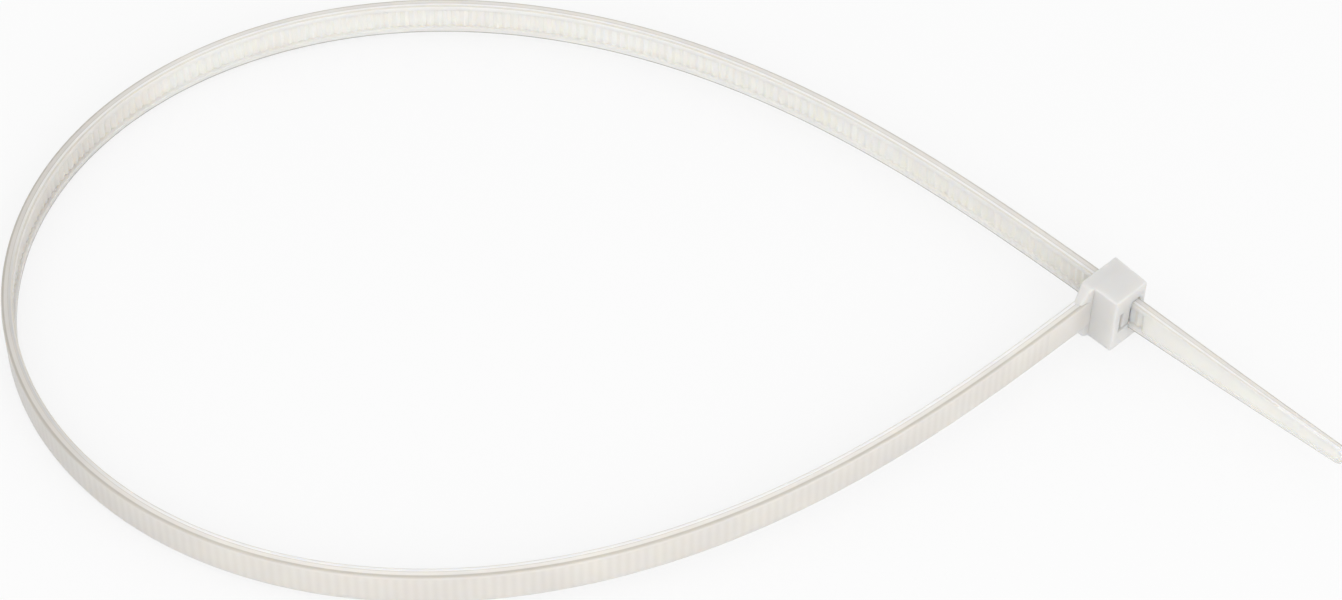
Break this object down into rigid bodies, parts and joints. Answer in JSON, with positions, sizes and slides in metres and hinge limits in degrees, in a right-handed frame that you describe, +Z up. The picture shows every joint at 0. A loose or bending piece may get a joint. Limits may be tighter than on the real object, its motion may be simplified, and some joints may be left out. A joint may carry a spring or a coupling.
{
  "type": "cable tie",
  "caption": "Natural nylon cable tie closed into a wide drop-shaped loop, its toothed strap through a box-shaped ratchet head and a pointed tail standing out past it.",
  "frame": {"origin": "on the ground, at the head's side face, under the point in the head where the two arms of the strap cross", "axes": "+Z up out of the flat loop, -X from the head to the loop's far end, +Y towards the arm that passes through the head"},
  "size_m": [0.1241, 0.0738, 0.0065],
  "materials": {
    "natural_nylon": "satin, slightly translucent moulded nylon 6/6 in its natural milky colour"
  },
  "bodies": {
    "root": {"cable_tie": "natural_nylon"}
  },
  "joints": []
}
